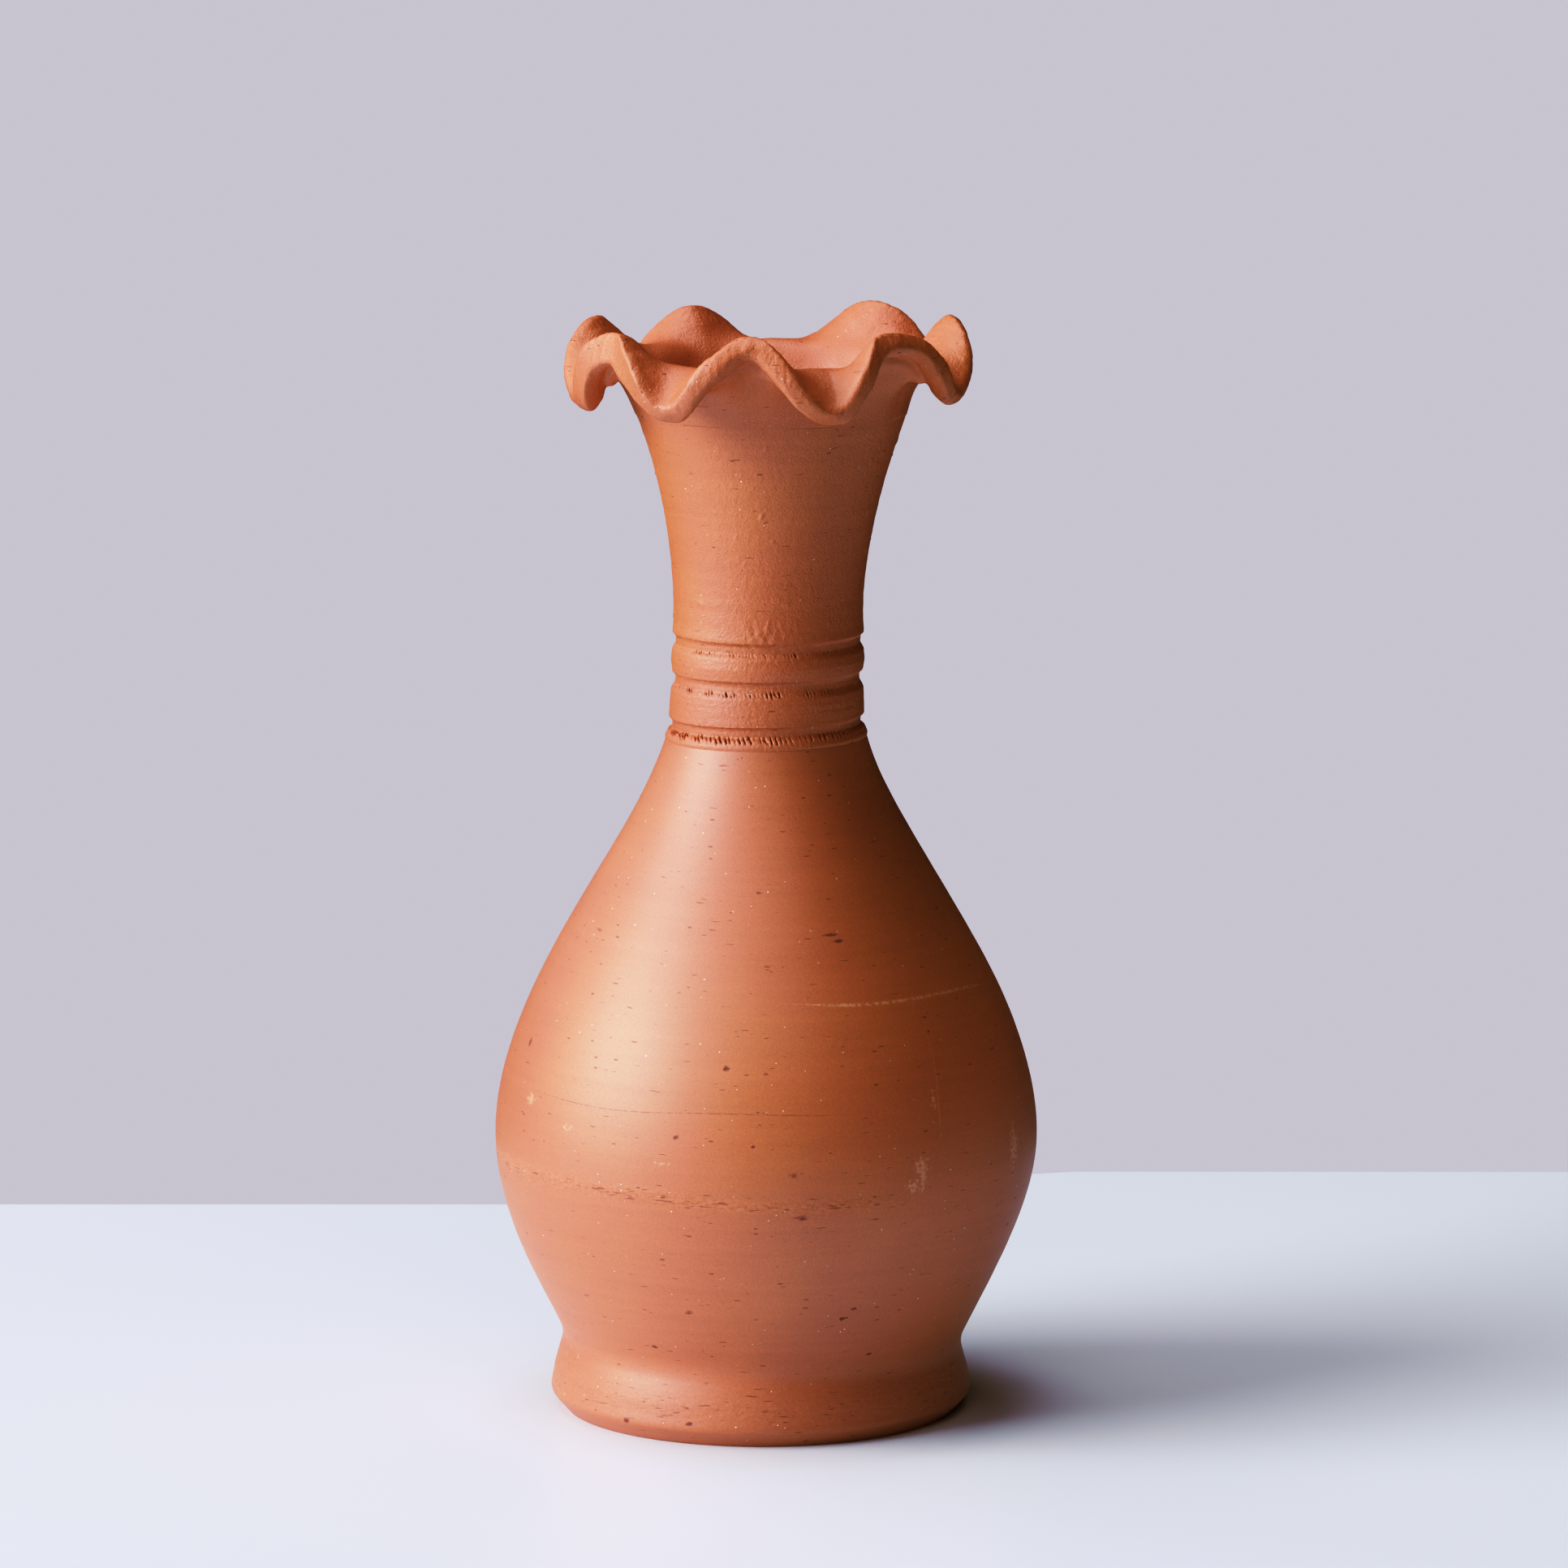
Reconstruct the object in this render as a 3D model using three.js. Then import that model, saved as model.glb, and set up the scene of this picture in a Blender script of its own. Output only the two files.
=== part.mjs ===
// Terracotta bud vase: a round body on a flared foot, a banded collar, a flaring neck and a ruffled lip.
// It is built as the sections that a potter throws and lutes together, each one its own solid.
// Millimetres, +Z up, origin at the centre of the underside, front towards -Y.
import * as THREE from 'three';

// Driving dimensions.
const WALL = 4.5;
const FOOT_EDGE_RADIUS = 44.8;
const FOOT_FLARE_RADIUS = 48.1;
const FOOT_FLARE_Z = 4.2;
const FOOT_INNER_RADIUS = 40;
const FLOOR_UNDERSIDE_Z = 2;
const FLOOR_TOP_Z = 9;
const CREASE_RADIUS = 45.7;
const CREASE_Z = 16.2;
const BELLY_RADIUS = 61.9;
const BELLY_Z = 64;
const SHOULDER_RADIUS = 22.9;
const SHOULDER_Z = 155;
const COLLAR_TOP_RADIUS = 21.7;
const COLLAR_TOP_Z = 179.2;
const COLLAR_BORE_RADIUS = 17;
const SHOULDER_BORE_RADIUS = 18;
const LIP_ROOT_RADIUS = 30.5;
const LIP_ROOT_Z = 229;
const LOBES = 7;
const LOBE_PHASE = THREE.MathUtils.degToRad(-2);
const LIP_THICKNESS = 5;
const LIP_EDGE_RADIUS = 43.6;
const LIP_EDGE_Z = 240.8;
const LIP_WAVE = 6.7;

// Facets round the vase and along its curves.
const ROUND_FACETS = 56;
const LIP_FACETS = 84;
const LOWER_CURVE_STEPS = 6;
const UPPER_CURVE_STEPS = 12;
const JOINT_STEP = 2;
const NECK_CURVE_STEPS = 7;
const LIP_STEPS = 4;

// The outside of each thrown wall is a cubic curve: end, handle, handle, end, each as [radius, height].
const LOWER_BOWL_CURVE = [
  [CREASE_RADIUS, CREASE_Z], [48.7, 25], [BELLY_RADIUS, 44], [BELLY_RADIUS, BELLY_Z],
];
const UPPER_BOWL_CURVE = [
  [BELLY_RADIUS, BELLY_Z], [BELLY_RADIUS, 97.4], [30.8, 128.5], [SHOULDER_RADIUS, SHOULDER_Z],
];
const NECK_CURVE = [
  [COLLAR_TOP_RADIUS, COLLAR_TOP_Z], [COLLAR_TOP_RADIUS, 185.3], [22, 205.9], [LIP_ROOT_RADIUS, LIP_ROOT_Z],
];

// Each turned groove: its crisp upper edge, its deepest line, and the bead that stands proud below it.
const GROOVES = [
  { edge: [22.1, 160.2], floor: [21.4, 158.2], bead: [22.4, 156.9] },
  { edge: [21.6, 170.5], floor: [20.9, 168.4], bead: [21.8, 166.6] },
  { edge: [COLLAR_TOP_RADIUS, COLLAR_TOP_Z], floor: [20.9, 177], bead: [21.8, 175] },
];

const burnished = { color: 0xb5683f, roughness: 0.55, metalness: 0 };
const rawClay = { color: 0xb87048, roughness: 0.75, metalness: 0 };

const vase = new THREE.Group();

function addSection(name, geometry, look) {
  const section = new THREE.Mesh(geometry, new THREE.MeshStandardMaterial(look));
  section.name = name;
  vase.add(section);
}

// Turns a closed outline of [radius, height] points, listed anticlockwise, about the Z axis.
function thrown(outline) {
  const points = [...outline, outline[0]].map(([radius, z]) => new THREE.Vector2(radius, z));
  return new THREE.LatheGeometry(points, ROUND_FACETS).rotateX(Math.PI / 2);
}

function outlineOf(curvePoints, steps) {
  const ends = curvePoints.map(([radius, z]) => new THREE.Vector2(radius, z));
  return new THREE.CubicBezierCurve(...ends).getPoints(steps).map((point) => [point.x, point.y]);
}

// Gives a stretch of outside wall its inner face, a wall's thickness inwards, between level joint faces.
function walled(outline, innerEnds) {
  const inner = outline.map(([radius, z], index) => {
    const [nextRadius, nextZ] = outline[Math.min(index + 1, outline.length - 1)];
    const [lastRadius, lastZ] = outline[Math.max(index - 1, 0)];
    const run = Math.hypot(nextRadius - lastRadius, nextZ - lastZ);
    return [radius - (WALL * (nextZ - lastZ)) / run, z + (WALL * (nextRadius - lastRadius)) / run];
  });
  const top = [innerEnds[1], outline.at(-1)[1]];
  const bottom = [innerEnds[0], outline[0][1]];
  return [...outline, top, ...inner.slice(1, -1).reverse(), bottom];
}

const creaseBore = CREASE_RADIUS - WALL;
const rootBore = LIP_ROOT_RADIUS - WALL;

// Foot: a slab floor inside a flared ring, whose lower edge is chamfered and stands on the table.
addSection('floor_disc', thrown([
  [0, FLOOR_UNDERSIDE_Z], [FOOT_INNER_RADIUS, FLOOR_UNDERSIDE_Z],
  [FOOT_INNER_RADIUS, FLOOR_TOP_Z], [0, FLOOR_TOP_Z],
]), rawClay);
addSection('foot_ring', thrown([
  [FOOT_INNER_RADIUS, 0], [FOOT_EDGE_RADIUS, 0], [FOOT_FLARE_RADIUS - 0.9, FOOT_FLARE_Z - 1.9],
  [FOOT_FLARE_RADIUS, FOOT_FLARE_Z], [FOOT_FLARE_RADIUS - 0.6, FOOT_FLARE_Z + 4.5],
  [CREASE_RADIUS, CREASE_Z], [creaseBore, CREASE_Z], [FOOT_INNER_RADIUS, FLOOR_TOP_Z],
]), burnished);

// Body, thrown in two halves that meet just above the widest line.
const belowWidest = outlineOf(LOWER_BOWL_CURVE, LOWER_CURVE_STEPS);
const aboveWidest = outlineOf(UPPER_BOWL_CURVE, UPPER_CURVE_STEPS);
const jointBore = aboveWidest[JOINT_STEP][0] - WALL;
const lowerOutline = [...belowWidest, ...aboveWidest.slice(1, JOINT_STEP + 1)];
addSection('lower_bowl', thrown(walled(lowerOutline, [creaseBore, jointBore])), burnished);
const upperOutline = aboveWidest.slice(JOINT_STEP);
addSection('upper_bowl', thrown(walled(upperOutline, [jointBore, SHOULDER_BORE_RADIUS])), burnished);

// Collar: a short tube with three grooves turned into it, and its lowest ring spreading into the shoulder.
const collarOutside = GROOVES.flatMap(({ edge, floor, bead }) => [bead, floor, edge]);
addSection('neck_collar', thrown([
  [SHOULDER_RADIUS, SHOULDER_Z], ...collarOutside,
  [COLLAR_BORE_RADIUS, COLLAR_TOP_Z], [SHOULDER_BORE_RADIUS, SHOULDER_Z],
]), rawClay);

const neckOutline = outlineOf(NECK_CURVE, NECK_CURVE_STEPS);
addSection('neck_trumpet', thrown(walled(neckOutline, [COLLAR_BORE_RADIUS, rootBore])), rawClay);

// Lip: the wall runs on from the neck and curls outwards to a round edge that rises and dips in seven lobes.
// At a crest the edge stands up, and at a dip it lies over like a spout.
function lipSection(angle) {
  const phase = LOBES * (angle - LOBE_PHASE);
  const crest = Math.cos(phase);
  const edge = new THREE.Vector2(
    LIP_EDGE_RADIUS - 1.05 * crest - 1.3 * Math.cos(2 * phase),
    LIP_EDGE_Z + LIP_WAVE * crest,
  );
  const root = new THREE.Vector2(LIP_ROOT_RADIUS - WALL / 2, LIP_ROOT_Z);
  const edgeTilt = THREE.MathUtils.degToRad(18 + 36 * crest);
  const edgeHeading = new THREE.Vector2(Math.cos(edgeTilt), Math.sin(edgeTilt));
  const rootHeading = new THREE.Vector2(0.3, 0.95);
  const middle = new THREE.CubicBezierCurve(
    root,
    root.clone().addScaledVector(rootHeading, 5.5 + 1.5 * crest),
    edge.clone().addScaledVector(edgeHeading, -6),
    edge,
  );
  const outside = [];
  const inside = [];
  for (let step = 0; step <= LIP_STEPS; step += 1) {
    const along = step / LIP_STEPS;
    const half = THREE.MathUtils.lerp(WALL, LIP_THICKNESS, along) / 2;
    const point = middle.getPoint(along);
    const heading = step === 0 ? new THREE.Vector2(0, 1) : middle.getTangent(along);
    const outwards = new THREE.Vector2(heading.y, -heading.x);
    outside.push(point.clone().addScaledVector(outwards, half));
    inside.unshift(point.clone().addScaledVector(outwards, -half));
  }
  const roundEnd = [-45, 0, 45].map((turn) => {
    const turned = edgeTilt + THREE.MathUtils.degToRad(turn);
    return new THREE.Vector2(Math.cos(turned), Math.sin(turned)).multiplyScalar(LIP_THICKNESS / 2).add(edge);
  });
  return [...outside, ...roundEnd, ...inside];
}

// Joins one section per facet into a closed ring.
function ringOfSections(sectionAt, facets) {
  const positions = [];
  const triangles = [];
  let count = 0;
  for (let facet = 0; facet < facets; facet += 1) {
    const angle = (facet / facets) * 2 * Math.PI;
    const section = sectionAt(angle);
    count = section.length;
    for (const point of section) {
      positions.push(point.x * Math.sin(angle), -point.x * Math.cos(angle), point.y);
    }
    const next = (facet + 1) % facets;
    for (let index = 0; index < count; index += 1) {
      const after = (index + 1) % count;
      const [a, b] = [facet * count + index, facet * count + after];
      const [c, d] = [next * count + index, next * count + after];
      triangles.push(a, c, d, a, d, b);
    }
  }
  const geometry = new THREE.BufferGeometry();
  geometry.setAttribute('position', new THREE.Float32BufferAttribute(positions, 3));
  geometry.setIndex(triangles);
  return geometry;
}

addSection('ruffled_lip', ringOfSections(lipSection, LIP_FACETS), rawClay);

export default vase;
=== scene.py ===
import math

import bmesh
import bpy
import numpy as np
from bpy.props import FloatProperty, FloatVectorProperty, IntProperty, PointerProperty
from mathutils import Euler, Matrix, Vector, noise


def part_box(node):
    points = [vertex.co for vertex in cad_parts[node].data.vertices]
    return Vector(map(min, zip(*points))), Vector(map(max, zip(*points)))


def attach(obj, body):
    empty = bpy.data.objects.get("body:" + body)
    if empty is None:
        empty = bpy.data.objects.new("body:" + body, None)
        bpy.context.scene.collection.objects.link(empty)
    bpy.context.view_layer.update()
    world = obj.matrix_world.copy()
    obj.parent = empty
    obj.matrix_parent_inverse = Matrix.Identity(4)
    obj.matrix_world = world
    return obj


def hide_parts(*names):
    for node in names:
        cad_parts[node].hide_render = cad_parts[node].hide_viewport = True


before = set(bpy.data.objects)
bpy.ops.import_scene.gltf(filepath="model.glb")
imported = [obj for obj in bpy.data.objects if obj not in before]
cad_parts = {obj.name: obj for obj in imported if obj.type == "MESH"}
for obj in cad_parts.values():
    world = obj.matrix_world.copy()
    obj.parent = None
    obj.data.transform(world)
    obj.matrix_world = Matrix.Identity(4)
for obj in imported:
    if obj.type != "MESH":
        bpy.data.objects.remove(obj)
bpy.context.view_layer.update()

bl_info = {
    "name": "Terracotta bud vase",
    "version": (1, 0, 0),
    "blender": (4, 5, 0),
    "location": "3D View > Sidebar > Vase",
    "description": "Throws, turns and finishes an unglazed terracotta bud vase with a ruffled lip",
    "category": "Add Mesh",
}

MM = 0.001
BODY = "root"

# Levels and radii of the thrown sections, in millimetres, read from the frame.


def low_mm(node):
    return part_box(node)[0].z / MM


def high_mm(node):
    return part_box(node)[1].z / MM


def radius_mm(node):
    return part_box(node)[1].x / MM


CREASE_Z = low_mm("lower_bowl")
JOINT_Z = low_mm("upper_bowl")
SHOULDER_Z = low_mm("neck_collar")
COLLAR_TOP_Z = high_mm("neck_collar")
ROOT_Z = low_mm("ruffled_lip")
FLOOR_UNDER_Z = low_mm("floor_disc")
FLOOR_TOP_Z = high_mm("floor_disc")
FLOOR_RADIUS = radius_mm("floor_disc")
FLARE_RADIUS = radius_mm("foot_ring")
BELLY_RADIUS = radius_mm("lower_bowl")
SHOULDER_RADIUS = radius_mm("neck_collar")
ROOT_RADIUS = radius_mm("neck_trumpet")

# The rest of the outline, as [radius, height] in millimetres.
BASE_EDGE = (44.8, 0.0)
FLARE_Z = 3.9
CREASE_RADIUS = 45.7
CREASE_FILLET = (0.42, 2.6)     # how much the soft crease fills, and how far it reaches each way
FOOT_OUTLINE = [
    BASE_EDGE, (FLARE_RADIUS - 0.15, FLARE_Z - 0.3), (FLARE_RADIUS, FLARE_Z + 0.6), (47.3, 9.0),
    (CREASE_RADIUS - CREASE_FILLET[0], CREASE_Z),
]
BELLY_Z = 64.0
COLLAR_TOP_RADIUS = 21.7


def srgb(hex_colour):
    """A colour written as sRGB hex, turned to linear red, green, blue."""
    channels = [int(hex_colour[i:i + 2], 16) / 255 for i in (1, 3, 5)]
    return tuple(c / 12.92 if c <= 0.04045 else ((c + 0.055) / 1.055) ** 2.4 for c in channels)


# ---------------------------------------------------------------------------------------------
# Settings that a user would change
# ---------------------------------------------------------------------------------------------


class VaseShape(bpy.types.PropertyGroup):
    wall: FloatProperty(
        name="Wall", description="Thickness of the thrown wall", default=4.5 * MM, unit="LENGTH")
    lean: FloatProperty(
        name="Lean", description="How much of the maker's unevenness is kept, 0 for a true axis", default=1.0)
    mesh_step: FloatProperty(
        name="Mesh step", description="Spacing of the rings on the body", default=0.75 * MM, unit="LENGTH")
    facets: IntProperty(name="Facets", description="Mesh columns round the body", default=560, min=56)
    hand_waver: FloatProperty(
        name="Hand waver", description="How far the wall wanders from true round", default=0.22 * MM,
        unit="LENGTH")
    throwing_rings: FloatProperty(
        name="Throwing rings", description="Height of the ridges left by the fingers", default=0.02 * MM,
        unit="LENGTH")
    lip_thickness: FloatProperty(
        name="Lip thickness", description="Usual thickness of the rim", default=4.9 * MM, unit="LENGTH")


class ClayLook(bpy.types.PropertyGroup):
    clay: FloatVectorProperty(
        name="Clay", description="Main colour of the fired clay", subtype="COLOR", default=srgb("#c1724b"))
    red_clay: FloatVectorProperty(
        name="Red patches", description="Where the fire was hotter", subtype="COLOR",
        default=srgb("#b96c4b"))
    yellow_clay: FloatVectorProperty(
        name="Yellow patches", description="Where the slip is thicker", subtype="COLOR",
        default=srgb("#c2784a"))
    # Also the colour of the painted shade in hollows, tears and the cut line.
    grit_and_shade: FloatVectorProperty(
        name="Grit", description="Iron-rich grains and the pits they leave", subtype="COLOR",
        default=srgb("#752e1e"))
    # Painted glints: the real mica flakes are coloured near white to stand for their sparkle.
    mica_glint: FloatVectorProperty(
        name="Mica", description="Bright flakes in the clay", subtype="COLOR", default=srgb("#f0d8c8"))
    chalk: FloatVectorProperty(
        name="Chalk", description="Dry scuffs and scratches", subtype="COLOR", default=srgb("#dca07a"))
    burnish_roughness: FloatProperty(
        name="Burnished roughness", description="Gloss of the rubbed body", default=0.58, min=0, max=1)
    raw_roughness: FloatProperty(
        name="Raw roughness", description="Gloss of the neck and lip", default=0.56, min=0, max=1)


class StudioLook(bpy.types.PropertyGroup):
    table: FloatVectorProperty(
        name="Table", description="Colour of the table top", subtype="COLOR", default=srgb("#ecf1fa"))
    backdrop: FloatVectorProperty(
        name="Backdrop", description="Colour behind the table", subtype="COLOR", default=srgb("#c6c3cf"))
    key_power: FloatProperty(
        name="Key light", description="Power of the large light on the left", default=128, unit="POWER")
    top_power: FloatProperty(
        name="Top light", description="Power of the overhead light", default=17, unit="POWER")
    rim_power: FloatProperty(
        name="Rim light", description="Power of the light behind and to the left", default=6, unit="POWER")
    front_power: FloatProperty(
        name="Front light", description="Power of the weak light in front", default=7, unit="POWER")
    fill_strength: FloatProperty(
        name="Fill", description="Strength of the light from all round", default=0.015)


# ---------------------------------------------------------------------------------------------
# Clay surface: how hands, tools and the fire move the wall
# ---------------------------------------------------------------------------------------------


def clay_noise(points, grain, seed=0.0):
    """Smooth noise from -1 to 1. grain is a lump's size in mm, as one number or one per axis."""
    scaled = points / np.asarray(grain, float) + seed
    return np.array([noise.noise(Vector(p)) for p in scaled])


def bell(value, centre, width):
    return np.exp(-(((value - centre) / width) ** 2))


def on_circle(line, angles):
    """Points, in millimetres, of every [radius, height] of a line at every angle; 0 faces the front."""
    radius, height = line[:, 0][None, :], line[:, 1][None, :]
    sine, cosine = np.sin(angles)[:, None], np.cos(angles)[:, None]
    return np.stack([radius * sine, -radius * cosine, height + 0 * sine], axis=-1)


# How far the centre of the vase stands to the right at each height, in millimetres.
CENTRE_DRIFT = [(0, 0), (20, 0.3), (64, 1.3), (150, 1.25), (185, 1.85), (226, 2.6), (238, 1.7), (255, 1.7)]
# How far a turned line climbs towards the right at each height, in millimetres per millimetre.
LINE_TILT = [(0, 0), (16.2, -0.022), (45, 0), (148, 0), (158, 0.02), (168, 0.01), (179, 0), (255, 0)]


def eased(marks, height):
    """A value given at a few heights, eased smoothly from each to the next."""
    levels, values = np.array(marks, float).T
    index = np.clip(np.searchsorted(levels, height, side="right") - 1, 0, len(levels) - 2)
    share = np.clip((height - levels[index]) / (levels[index + 1] - levels[index]), 0, 1)
    return values[index] + (values[index + 1] - values[index]) * (1 - np.cos(share * math.pi)) / 2


def uneven(points, shape):
    """Moves points in place as the maker's hand did: the centre wanders and turned lines aren't level."""
    height = points[..., 2].copy()
    points[..., 2] += shape.lean * eased(LINE_TILT, height) * points[..., 0]
    points[..., 0] += shape.lean * eased(CENTRE_DRIFT, height)
    return points


def outward(line):
    """Unit normals of a [radius, height] line that runs upwards, pointing away from the clay on its left."""
    run = np.gradient(line, axis=0)
    run /= np.linalg.norm(run, axis=1)[:, None]
    return np.stack([run[:, 1], -run[:, 0]], axis=-1)


def bezier(ends_and_handles, step):
    """A cubic curve through [radius, height] points, with a point about every step."""
    a, b, c, d = (np.array(point, float) for point in ends_and_handles)
    t = np.linspace(0, 1, 200)[:, None]
    curve = (1 - t) ** 3 * a + 3 * (1 - t) ** 2 * t * b + 3 * (1 - t) * t**2 * c + t**3 * d
    return even(curve, step)


def even(line, step):
    """The same line with its points evenly spaced, about a step apart."""
    along = np.concatenate([[0], np.cumsum(np.linalg.norm(np.diff(line, axis=0), axis=1))])
    count = max(2, round(along[-1] / step) + 1)
    at = np.linspace(0, along[-1], count)
    return np.stack([np.interp(at, along, line[:, 0]), np.interp(at, along, line[:, 1])], axis=-1)


def rounded(points, step, soften):
    """A line through corner points whose corners are rubbed round over about the soften length."""
    fine = even(np.array(points, float), step / 4)
    half = max(1, round(soften / (step / 4) / 2))
    padded = np.pad(fine, ((half, half), (0, 0)), mode="edge")
    padded[:half] = 2 * fine[0] - fine[1:half + 1][::-1]
    padded[-half:] = 2 * fine[-1] - fine[-half - 1:-1][::-1]
    kernel = np.hanning(2 * half + 3)[1:-1]
    kernel /= kernel.sum()
    soft = np.stack([np.convolve(padded[:, i], kernel, mode="valid") for i in (0, 1)], axis=-1)
    soft[0], soft[-1] = fine[0], fine[-1]
    return even(soft, step)


# ---------------------------------------------------------------------------------------------
# Marks of making and use
# ---------------------------------------------------------------------------------------------

# Grains of iron-rich grit big enough to see: angle in degrees, height, half width and half height.
INCLUSIONS = [
    (-7.6, 89.0, 0.9, 0.7), (-17.9, 73.7, 0.8, 0.8), (-1.3, 72.4, 0.8, 0.5), (6.9, 65.9, 1.6, 0.5),
    (8.9, 56.0, 1.3, 0.6), (21.5, 116.4, 2.2, 0.45), (23.5, 115.0, 1.7, 0.45), (23, 32.9, 1.0, 0.5),
    (-17.5, 32.2, 1.3, 0.5), (-29.9, 22.3, 1.0, 0.5), (-39.1, 4.3, 0.9, 0.8), (-19.4, 5.3, 1.0, 0.5),
    (31, 20.5, 0.9, 0.5), (-69, 88, 0.9, 1.1), (70, 46, 0.9, 0.6), (128, 76, 1.0, 0.7), (-141, 58, 1.0, 0.8),
    (171, 97, 1.1, 0.7), (102, 31, 1.0, 0.6), (-112, 104, 1.0, 0.6),
]
# Chalky scuffs where the vase has been knocked, in the same terms.
SCUFFS = [
    (35.5, 65.5, 1.9, 3.4), (33.6, 61.4, 3.0, 1.6), (65.5, 65.5, 2.4, 4.8), (-61, 76.6, 1.9, 1.3),
    (-46, 72.6, 1.6, 1.0), (-21, 67.6, 1.9, 0.7), (39.8, 80.0, 0.8, 2.0), (147, 69, 4.0, 2.6),
]
# Fine scratches: from an angle and height, to an angle and height.
SCRATCHES = [
    ((-56, 78.5), (14, 79.2)),
    ((20, 102.2), (63, 101.0)),
    ((42.1, 92.0), (40.6, 72.0)),
]
SCRATCH_RADIUS = 58      # the wall's usual radius where they run
TORN_TO = (-88, 26)      # how far round the torn band runs, in degrees


def spots(places, angle, radius, height):
    """1 in the middle of the nearest spot, falling evenly to 0 outside it."""
    near = np.zeros(height.shape)
    for at, level, wide, tall in places:
        across = np.radians((angle - at + 180) % 360 - 180) * radius / wide
        near = np.maximum(near, 1 - np.hypot(across, (height - level) / tall) / 2)
    return near


def beside(scratch, angle, radius, height):
    """How far each point lies to one side of a scratch, in millimetres; it grows fast past its ends."""
    start, end = np.array(scratch, float)
    middle = (start + end) / 2
    along = (end - start) * (np.radians(1) * SCRATCH_RADIUS, 1)
    length = np.linalg.norm(along)
    along /= length
    right, up = (angle - middle[0]) * np.radians(1) * radius, height - middle[1]
    past = np.clip(np.abs(right * along[0] + up * along[1]) - length / 2, 0, 20)
    waver = 0.35 * np.sin(right / 9) + 0.2 * np.sin(up / 3)
    return (right * along[1] - up * along[0] + waver) * np.exp(past / 3)


def torn(angle, height):
    """Where the turning tool dragged the clay: a band below the widest line, and the face of the foot."""
    level = 60.3 - 2.1 / (1 + np.exp(-(angle + 14) / 6))
    first, last = TORN_TO
    ends = 1 / (1 + np.exp(-(angle - first) / 4)) / (1 + np.exp((angle - last) / 4))
    return np.maximum(bell(height, level, 1.9) * ends, 0.5 * bell(height, 8.5, 4.5))


# ---------------------------------------------------------------------------------------------
# Mesh building
# ---------------------------------------------------------------------------------------------


def shade_in_hollows(moves):
    """How far each point lies below its neighbours round the wall, from 0 to 1: painted shade darkens the
    clay there.
    """
    around = sum(np.roll(moves, shift, axis=0) for shift in (-3, -2, -1, 1, 2, 3)) / 6
    return np.clip((around - moves) / 0.2, 0, 1)


def carry(mesh, name, *values):
    """Gives the mesh three numbers at each point for its material to read."""
    spread = mesh.attributes.new(name, "FLOAT_VECTOR", "POINT")
    spread.data.foreach_set("vector", np.stack([value.ravel() for value in values], axis=-1).ravel())


def ring_mesh(name, points, material, painted_hollow_shade=0.0):
    """A closed ring from points[column, row]: the rows of each column make a closed loop round the wall."""
    columns, rows = points.shape[:2]
    column = np.arange(columns)[:, None]
    row = np.arange(rows)[None, :]
    after_column, after_row = (column + 1) % columns, (row + 1) % rows
    quads = np.stack([
        column * rows + row, after_column * rows + row,
        after_column * rows + after_row, column * rows + after_row], axis=-1)
    made = clay_object(name, points.reshape(-1, 3), quads.reshape(-1, 4), material)
    angle = np.degrees(np.arctan2(points[..., 0], -points[..., 1]))
    radius, height = np.hypot(points[..., 0], points[..., 1]), points[..., 2]
    # The first value is painted shade in the hollows, together with the real grit inclusions; the second is
    # the scuffs; the third is the torn band.
    carry(made.data, "marks", np.maximum(painted_hollow_shade, spots(INCLUSIONS, angle, radius, height)),
          spots(SCUFFS, angle, radius, height), torn(angle, height))
    carry(made.data, "lines", *(beside(scratch, angle, radius, height) for scratch in SCRATCHES))
    return made


def clay_object(name, points, faces, material):
    mesh = bpy.data.meshes.new(name)
    mesh.from_pydata((points * MM).tolist(), [], faces.tolist())
    mesh.polygons.foreach_set("use_smooth", np.ones(len(mesh.polygons), bool))
    mesh.set_sharp_from_angle(angle=math.radians(50))
    mesh.materials.append(material)
    mesh.validate()
    made = bpy.data.objects.new(name, mesh)
    bpy.context.scene.collection.objects.link(made)
    return made


def close_middle(mesh):
    """Draws the points that stand on a disc's axis together, so that the disc is whole at its centre."""
    disc = bmesh.new()
    disc.from_mesh(mesh)
    bmesh.ops.remove_doubles(disc, verts=disc.verts, dist=0.001 * MM)
    bmesh.ops.delete(disc, geom=[edge for edge in disc.edges if not edge.link_faces], context="EDGES")
    disc.to_mesh(mesh)
    disc.free()


def hand_over(piece, node):
    """The piece stands for its section of the frame."""
    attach(piece, BODY)
    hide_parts(node)
    return piece


def wall_loop(outside, inside):
    """One loop of [radius, height]: up the outside, over the top, down the inside and under the bottom."""
    top = even(np.array([outside[-1], inside[-1]]), 1.1)[1:-1]
    bottom = even(np.array([inside[0], outside[0]]), 1.1)[1:-1]
    return np.concatenate([outside, top, inside[::-1], bottom]), len(outside), len(top), len(inside)


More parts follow.
